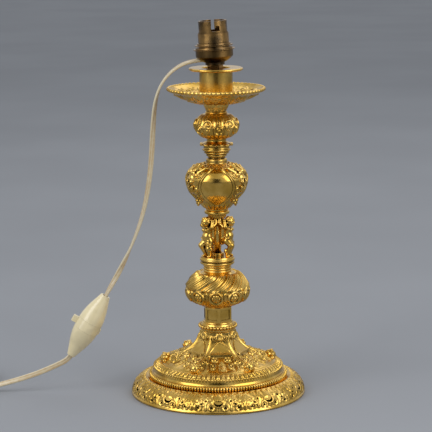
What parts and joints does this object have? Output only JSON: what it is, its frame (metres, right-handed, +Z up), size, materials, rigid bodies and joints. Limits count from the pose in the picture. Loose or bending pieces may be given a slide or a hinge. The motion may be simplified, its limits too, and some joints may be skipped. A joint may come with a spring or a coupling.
{
  "type": "candlestick table lamp",
  "caption": "Figured gilt bronze candlestick on a pierced round base, fitted with a bayonet lampholder, a flex and an inline push-bar switch.",
  "frame": {"origin": "centre of the base on the surface it stands on", "axes": "+Z up; -Y is the front with the plain cartouche; the flex leaves towards -X"},
  "size_m": [0.382, 0.162, 0.3461],
  "materials": {
    "gilt_bronze": "fire gilt, polished",
    "aged_brass": "dark patina",
    "raw_brass": "machined",
    "rod_iron": "dull",
    "spring_steel": "bright",
    "brown_insulator": "moulded",
    "ivory_plastic": "glossy",
    "flex": "clear PVC over copper",
    "plug_plastic": "satin",
    "plated_pins": "nickel plated"
  },
  "bodies": {
    "root": {"base_gallery": "gilt_bronze", "milled_ring": "gilt_bronze", "base_dome": "gilt_bronze", "neck_bead": "gilt_bronze", "hex_column": "gilt_bronze", "lower_knop": "gilt_bronze", "reeded_collar": "gilt_bronze", "figure_plinth": "gilt_bronze", "putto_1": "gilt_bronze", "putto_2": "gilt_bronze", "putto_3": "gilt_bronze", "figure_capital": "gilt_bronze", "urn": "gilt_bronze", "upper_collar": "gilt_bronze", "upper_knop": "gilt_bronze", "pan_cup": "gilt_bronze", "drip_pan": "gilt_bronze", "candle_socket": "gilt_bronze", "nozzle": "gilt_bronze", "holder_cap": "aged_brass", "holder_barrel": "aged_brass", "nipple_locknut": "aged_brass", "plug_bush": "raw_brass", "nipple": "raw_brass", "holder_terminals": "raw_brass", "switch_terminals": "raw_brass", "tie_rod": "rod_iron", "base_nut": "rod_iron", "base_washer": "rod_iron", "socket_nut": "rod_iron", "socket_washer": "rod_iron", "base_screws": "rod_iron", "plunger_spring_left": "spring_steel", "plunger_spring_right": "spring_steel", "switch_screws": "spring_steel", "terminal_block": "brown_insulator", "switch_shell_upper": "ivory_plastic", "switch_shell_lower": "ivory_plastic", "switch_body": "ivory_plastic", "cord_upper": "flex", "cord_lower": "flex", "cord_tail": "flex", "cord_coil": "flex", "plug_body": "plug_plastic", "plug_pins": "plated_pins"},
    "switch_bar": {"switch_bar": "ivory_plastic"},
    "plunger_left": {"plunger_left": "raw_brass"},
    "plunger_right": {"plunger_right": "raw_brass"},
    "shade_ring_upper": {"shade_ring_upper": "aged_brass"},
    "shade_ring_lower": {"shade_ring_lower": "aged_brass"}
  },
  "joints": [
    {"name": "switch_bar_slide", "type": "slide", "parent": "root", "child": "switch_bar", "axis": [0.8607, 0, -0.5091], "range_m": [0, 0.0041]},
    {"name": "plunger_left_slide", "type": "slide", "parent": "root", "child": "plunger_left", "axis": [0.0558, 0, -0.9984], "range_m": [0, 0.0035], "stiffness_N_per_m": 400, "deforming": ["plunger_spring_left"]},
    {"name": "plunger_right_slide", "type": "slide", "parent": "root", "child": "plunger_right", "axis": [0.0558, 0, -0.9984], "range_m": [0, 0.0035], "stiffness_N_per_m": 400, "deforming": ["plunger_spring_right"]},
    {"name": "shade_ring_upper_slide", "type": "slide", "parent": "root", "child": "shade_ring_upper", "axis": [-0.0558, 0, 0.9984], "range_m": [0, 0.0089]},
    {"name": "shade_ring_lower_slide", "type": "slide", "parent": "root", "child": "shade_ring_lower", "axis": [-0.0558, 0, 0.9984], "range_m": [0, 0.0008]}
  ]
}
